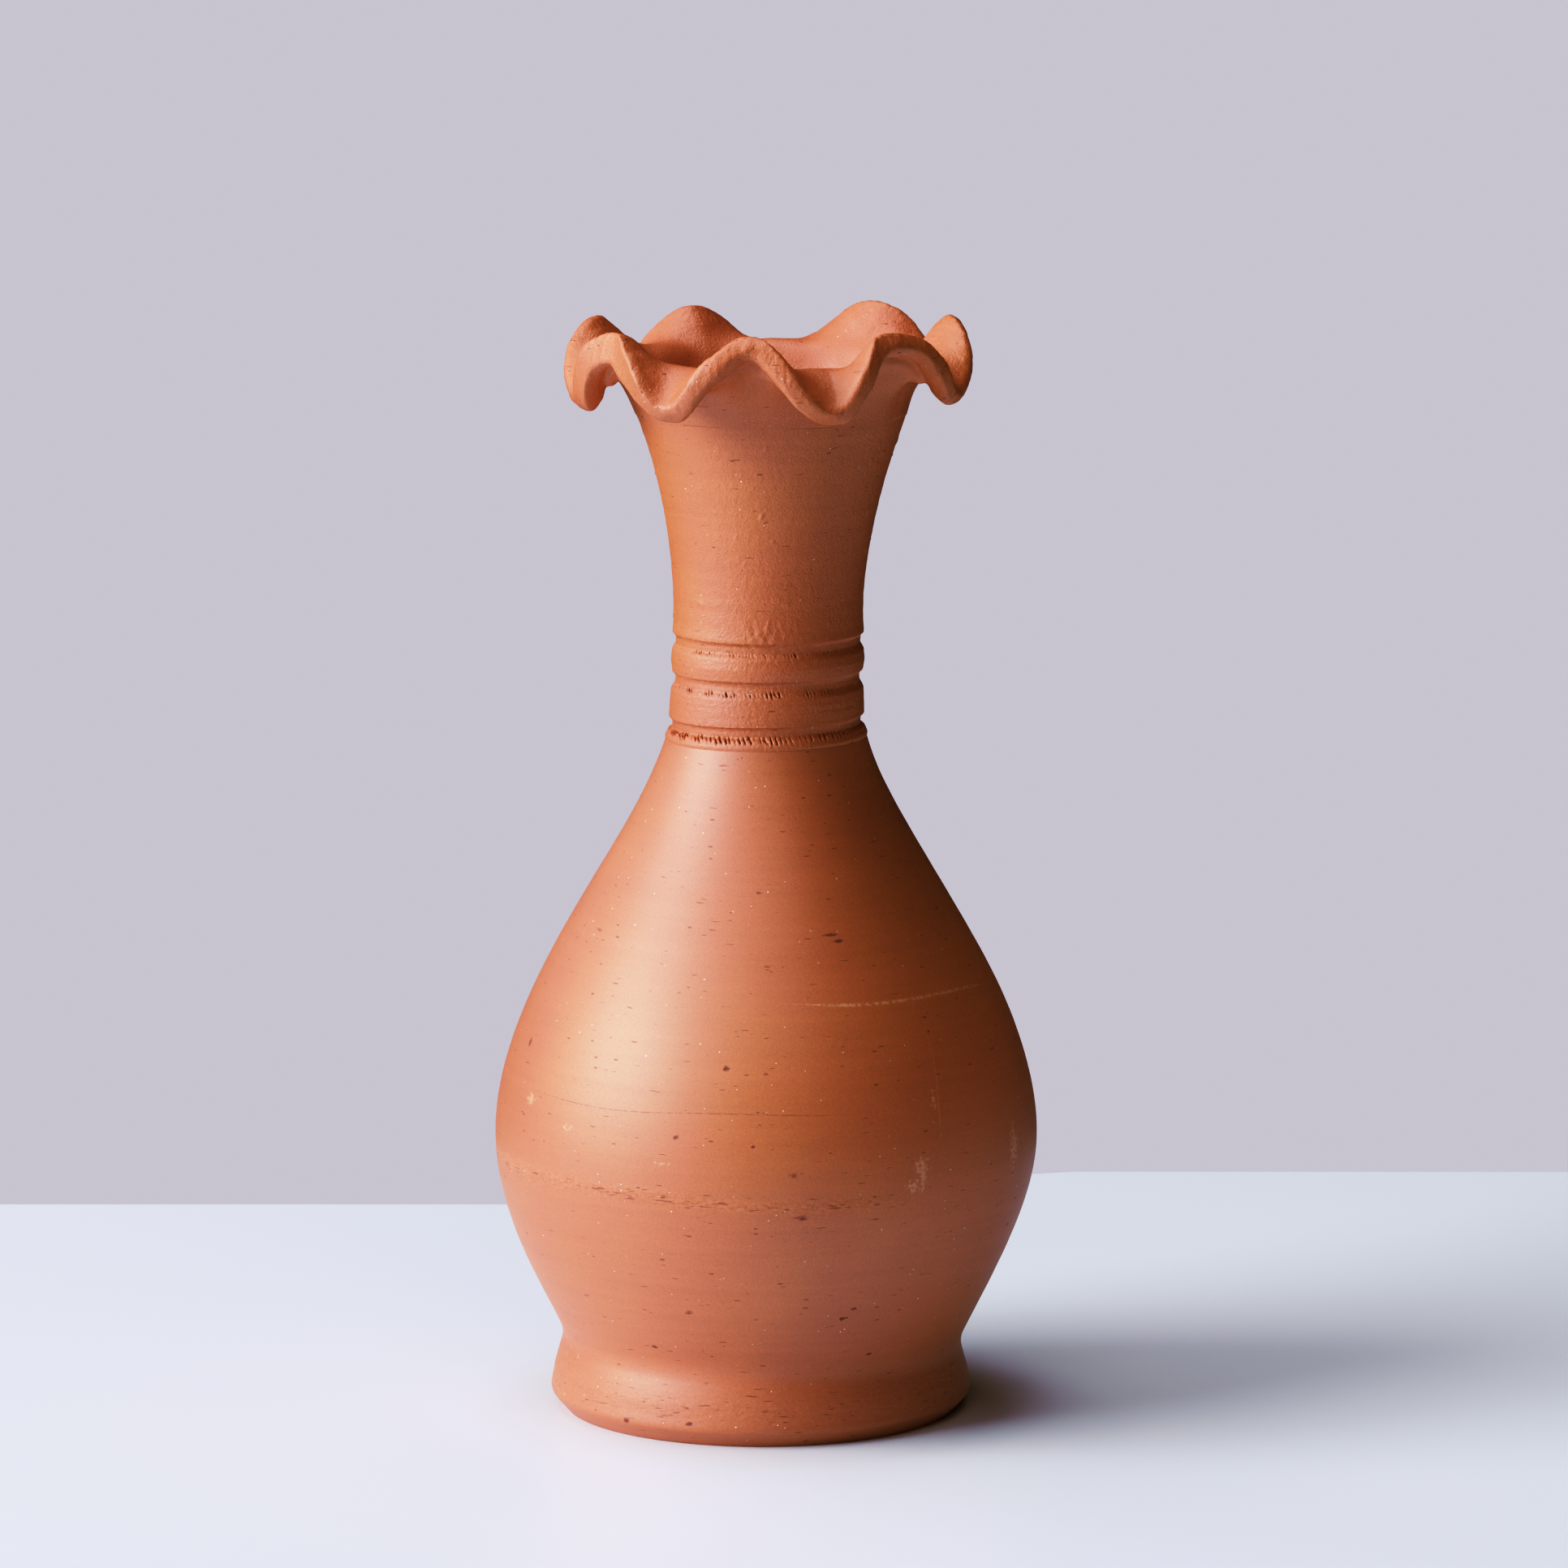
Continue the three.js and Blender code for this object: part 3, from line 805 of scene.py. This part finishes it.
    # Relief: sand everywhere, coarse in the torn band, and a pit or groove at each dark mark.
    grain = add_node(tree, "ShaderNodeTexNoise", {"Vector": place, "Scale": per_metre(0.5), "Detail": 1.0})
    dragged_grain = add_node(tree, "ShaderNodeTexNoise", {
        "Vector": dragged, "Scale": per_metre(0.7), "Detail": 2.0})
    torn_clay = add_node(tree, "ShaderNodeMath", {0: dragged_grain, 1: marks.outputs["Z"]},
                         operation="MULTIPLY")
    height = add_node(tree, "ShaderNodeMath", {0: grain, 1: relief}, operation="MULTIPLY")
    height = add_node(tree, "ShaderNodeMath", {0: torn_clay, 1: 4.5, 2: height}, operation="MULTIPLY_ADD")
    height = add_node(tree, "ShaderNodeMath", {0: dark, 1: -0.9, 2: height}, operation="MULTIPLY_ADD")
    bump = add_node(tree, "ShaderNodeBump", {"Strength": 0.5, "Distance": 0.14 * MM, "Height": height})
    tree.links.new(bump.outputs["Normal"], shader.inputs["Normal"])
    shader.inputs["IOR"].default_value = 1.54
    shader.inputs["Specular IOR Level"].default_value = 0.85
    shader.inputs["Coat Weight"].default_value = coat
    shader.inputs["Coat Roughness"].default_value = 0.46
    return material


def burnished_terracotta(look):
    """Rubbed with a smooth stone while leather-hard, so the light spreads in a broad satin sheen."""
    return terracotta("burnished terracotta", look, look.burnish_roughness, 0.4, 0.6)


def raw_terracotta(look):
    """Left as it came off the wheel: dry and sandy, with little shine."""
    return terracotta("raw terracotta", look, look.raw_roughness, 1.8, 0.15)


def clay_material(kind, look):
    found = bpy.data.materials.get(kind)
    if found:
        return found
    return burnished_terracotta(look) if kind == "burnished terracotta" else raw_terracotta(look)


# ---------------------------------------------------------------------------------------------
# Operators
# ---------------------------------------------------------------------------------------------


class VASE_OT_foot(bpy.types.Operator):
    """Makes the flared foot ring and the floor inside it"""
    bl_idname = "vase.foot"
    bl_label = "Foot and floor"

    def execute(self, context):
        shape, look = context.scene.vase_shape, context.scene.clay_look
        step = 0.4
        outside = fill_crease(rounded(FOOT_OUTLINE, step, 1.0))
        bore = CREASE_RADIUS - shape.wall / MM
        inside = even(np.array([(FLOOR_RADIUS, 0), (FLOOR_RADIUS, FLOOR_TOP_Z), (bore, CREASE_Z)]), 1.0)
        ring = thrown_wall(
            "foot_ring_clay", outside, inside, shape.facets, shape,
            turned_foot, untouched, clay_material("burnished terracotta", look))
        hand_over(ring, "foot_ring")
        floor_line = even(np.array([
            (0, FLOOR_UNDER_Z), (FLOOR_RADIUS, FLOOR_UNDER_Z),
            (FLOOR_RADIUS, FLOOR_TOP_Z), (0, FLOOR_TOP_Z)]), 1.5)
        angles = np.arange(shape.facets) / shape.facets * 2 * math.pi
        disc = ring_mesh(
            "floor_disc_clay", on_circle(floor_line, angles), clay_material("raw terracotta", look))
        close_middle(disc.data)
        hand_over(disc, "floor_disc")
        return {"FINISHED"}


class VASE_OT_body(bpy.types.Operator):
    """Throws the two halves of the round body"""
    bl_idname = "vase.body"
    bl_label = "Body"

    def execute(self, context):
        shape, look = context.scene.vase_shape, context.scene.clay_look
        outline = body_outline(shape.mesh_step / MM)
        for node, part in zip(("lower_bowl", "upper_bowl"), split_at(outline, JOINT_Z)):
            wall = thrown_wall(
                node + "_clay", part, inner_face(part, shape, 2.2), shape.facets, shape,
                turned_body, finger_ridges, clay_material("burnished terracotta", look))
            hand_over(wall, node)
        return {"FINISHED"}


class VASE_OT_collar(bpy.types.Operator):
    """Turns the grooved collar at the base of the neck"""
    bl_idname = "vase.collar"
    bl_label = "Collar"

    def execute(self, context):
        shape, look = context.scene.vase_shape, context.scene.clay_look
        outside = rounded(COLLAR_OUTLINE, 0.3, 0.5)
        bore = even(np.array([(18, SHOULDER_Z), (17, COLLAR_TOP_Z)]), 2)
        wall = thrown_wall(
            "neck_collar_clay", outside, bore, 800, shape,
            turned_collar, shallow_ridges, clay_material("raw terracotta", look))
        hand_over(wall, "neck_collar")
        return {"FINISHED"}


class VASE_OT_neck(bpy.types.Operator):
    """Throws the plain flaring neck"""
    bl_idname = "vase.neck"
    bl_label = "Neck"

    def execute(self, context):
        shape, look = context.scene.vase_shape, context.scene.clay_look
        outline = neck_outline(0.5)
        wall = thrown_wall(
            "neck_trumpet_clay", outline, inner_face(outline, shape, 1.6), 640, shape,
            plain_outside, neck_inside, clay_material("raw terracotta", look))
        hand_over(wall, "neck_trumpet")
        return {"FINISHED"}


class VASE_OT_lip(bpy.types.Operator):
    """Pinches the rim into its ruffle"""
    bl_idname = "vase.lip"
    bl_label = "Lip"

    def execute(self, context):
        shape, look = context.scene.vase_shape, context.scene.clay_look
        hand_over(ruffled_lip(shape, clay_material("raw terracotta", look)), "ruffled_lip")
        return {"FINISHED"}


class VASE_OT_stage(bpy.types.Operator):
    """Sets out the table, the backdrop, the soft lights and the camera"""
    bl_idname = "vase.stage"
    bl_label = "Stage"

    def execute(self, context):
        studio = context.scene.studio_look
        set_table(studio)
        set_backdrop(studio)
        set_lights(studio)
        set_camera()
        set_view_tones(context.scene.view_settings)
        return {"FINISHED"}


# How bright each level of light comes out in the view: shadows deepen and highlights roll off softly.
VIEW_TONES = [(0, 0), (0.1, 0.037), (0.2, 0.095), (0.4, 0.272), (0.6, 0.5), (0.8, 0.69), (1.0, 0.795),
               (1.25, 0.885), (1.6, 0.96)]
# How green and blue light is bent before that, as shares of the brightest: warm shadows and cool whites.
GREEN_TONES = [(0, 0), (0.05, 0.043), (0.09, 0.083), (0.15, 0.157), (0.21, 0.232), (0.34, 0.36),
               (0.61, 0.64), (1, 1)]
BLUE_TONES = [(0, 0), (0.05, 0.03), (0.085, 0.077), (0.15, 0.178), (0.25, 0.29), (0.4, 0.43), (0.5, 0.56),
              (0.66, 0.79), (1, 1)]


def set_view_tones(view):
    view.view_transform = "Standard"
    view.use_curve_mapping = True
    mapping = view.curve_mapping
    brightest = VIEW_TONES[-1][0]
    mapping.white_level = (brightest,) * 3
    whole = [(light / brightest, shown) for light, shown in VIEW_TONES]
    for channel, tones in ((3, whole), (1, GREEN_TONES), (2, BLUE_TONES)):
        curve = mapping.curves[channel]
        curve.points[0].location, curve.points[1].location = tones[0], tones[-1]
        for light, shown in tones[1:-1]:
            curve.points.new(light, shown)
    mapping.update()


def light_behind(shown, tones):
    """The light that a tone curve turns into the level shown."""
    lights, levels = zip(*tones)
    return float(np.interp(shown, levels, lights))


def light_for(colour):
    """The light that the view shows as the linear colour given."""
    brightest = VIEW_TONES[-1][0]
    red, green, blue = (light_behind(channel, VIEW_TONES) / brightest for channel in colour)
    green, blue = light_behind(green, GREEN_TONES), light_behind(blue, BLUE_TONES)
    return (red * brightest, green * brightest, blue * brightest, 1)


# The table's outline in metres: its back edge stands further off on the right, past a slanting step.
TABLE_OUTLINE = [(-1.6, -1.3), (1.6, -1.3), (1.6, 0.255), (0.08, 0.257), (-0.06, 0.2165), (-1.6, 0.2165)]


def set_table(studio):
    """A plain table top of satin laminate, pressed smooth, which gives a soft, even reflection."""
    mesh = bpy.data.meshes.new("table_top")
    mesh.from_pydata([(x, y, 0) for x, y in TABLE_OUTLINE], [], [tuple(range(len(TABLE_OUTLINE)))])
    table = bpy.data.objects.new("table_top", mesh)
    bpy.context.scene.collection.objects.link(table)
    material = bpy.data.materials.new("satin laminate")
    material.use_nodes = True
    shader = material.node_tree.nodes["Principled BSDF"]
    shader.inputs["Base Color"].default_value = (*studio.table, 1)
    shader.inputs["Roughness"].default_value = 0.4
    mesh.materials.append(material)


def set_backdrop(studio):
    """The backdrop shows its own colour, and lights the scene only a little."""
    world = bpy.data.worlds.new("studio backdrop")
    world.use_nodes = True
    bpy.context.scene.world = world
    tree = world.node_tree
    seen = add_node(tree, "ShaderNodeLightPath").outputs["Is Camera Ray"]
    strength = add_node(tree, "ShaderNodeMapRange", between(seen, 0.0, 1.0, studio.fill_strength, 1.0))
    background = tree.nodes["Background"]
    background.inputs["Color"].default_value = light_for(studio.backdrop)
    tree.links.new(strength.outputs["Result"], background.inputs["Strength"])


def add_soft_light(name, angle, rise, distance, size, power, colour, aim):
    """A big soft light: angle is to the left of the front, and rise is above the level, in degrees."""
    light = bpy.data.lights.new(name, "AREA")
    light.shape = "RECTANGLE"
    light.size, light.size_y = size
    light.energy = power
    light.color = colour
    lamp = bpy.data.objects.new(name, light)
    side, up = math.radians(angle), math.radians(rise)
    back = Vector((-math.sin(side) * math.cos(up), -math.cos(side) * math.cos(up), math.sin(up)))
    lamp.location = aim + back * distance
    lamp.rotation_euler = (-back).to_track_quat("-Z", "Y").to_euler()
    bpy.context.scene.collection.objects.link(lamp)


def set_lights(studio):
    middle = Vector((0, 0, 0.13))
    add_soft_light("key_light", 71, 25, 2.8, (2.1, 1.8), studio.key_power, (0.95, 0.98, 1), middle)
    add_soft_light("rim_light", 135, 25, 2.2, (1.6, 1.4), studio.rim_power, (0.96, 0.99, 1), middle)
    add_soft_light("top_light", 110, 82, 1.7, (1.0, 1.0), studio.top_power, (1, 0.89, 0.88), middle)
    add_soft_light("front_light", 0, 50, 1.8, (1.2, 1.0), studio.front_power, (1, 0.89, 0.88), middle)


# Where the camera stands in metres, how far down it looks in degrees, and its lens in millimetres.
CAMERA_PLACE = (0.00533, -1.983, 0.4694)
CAMERA_TILT = 9.32
CAMERA_LENS = 202.67


def set_camera():
    """Stands about two metres off, above the lip, and looks slightly down with a long lens."""
    camera = bpy.data.cameras.new("camera")
    camera.sensor_width = 36
    camera.lens = CAMERA_LENS
    camera.clip_start, camera.clip_end = 0.05, 20
    stand = bpy.data.objects.new("camera", camera)
    stand.location = CAMERA_PLACE
    stand.rotation_euler = Euler((math.radians(90 - CAMERA_TILT), 0, 0))
    bpy.context.scene.collection.objects.link(stand)
    bpy.context.scene.camera = stand


class VASE_PT_workshop(bpy.types.Panel):
    """Lists the vase's pieces and their settings"""
    bl_idname = "VASE_PT_workshop"
    bl_label = "Terracotta bud vase"
    bl_space_type = "VIEW_3D"
    bl_region_type = "UI"
    bl_category = "Vase"

    def draw(self, context):
        for settings in (context.scene.vase_shape, context.scene.clay_look, context.scene.studio_look):
            box = self.layout.box()
            for name in settings.bl_rna.properties.keys():
                if name not in ("rna_type", "name"):
                    box.prop(settings, name)
        for operator in PIECES:
            self.layout.operator(operator.bl_idname)


PIECES = (VASE_OT_foot, VASE_OT_body, VASE_OT_collar, VASE_OT_neck, VASE_OT_lip, VASE_OT_stage)
GROUPS = {"vase_shape": VaseShape, "clay_look": ClayLook, "studio_look": StudioLook}


def register():
    for part in (*GROUPS.values(), *PIECES, VASE_PT_workshop):
        bpy.utils.register_class(part)
    for name, group in GROUPS.items():
        setattr(bpy.types.Scene, name, PointerProperty(type=group))


def unregister():
    for name in GROUPS:
        delattr(bpy.types.Scene, name)
    for part in reversed((*GROUPS.values(), *PIECES, VASE_PT_workshop)):
        bpy.utils.unregister_class(part)


def main():
    register()
    bpy.ops.vase.foot()
    bpy.ops.vase.body()
    bpy.ops.vase.collar()
    bpy.ops.vase.neck()
    bpy.ops.vase.lip()
    bpy.ops.vase.stage()


if __name__ == "__main__":
    main()
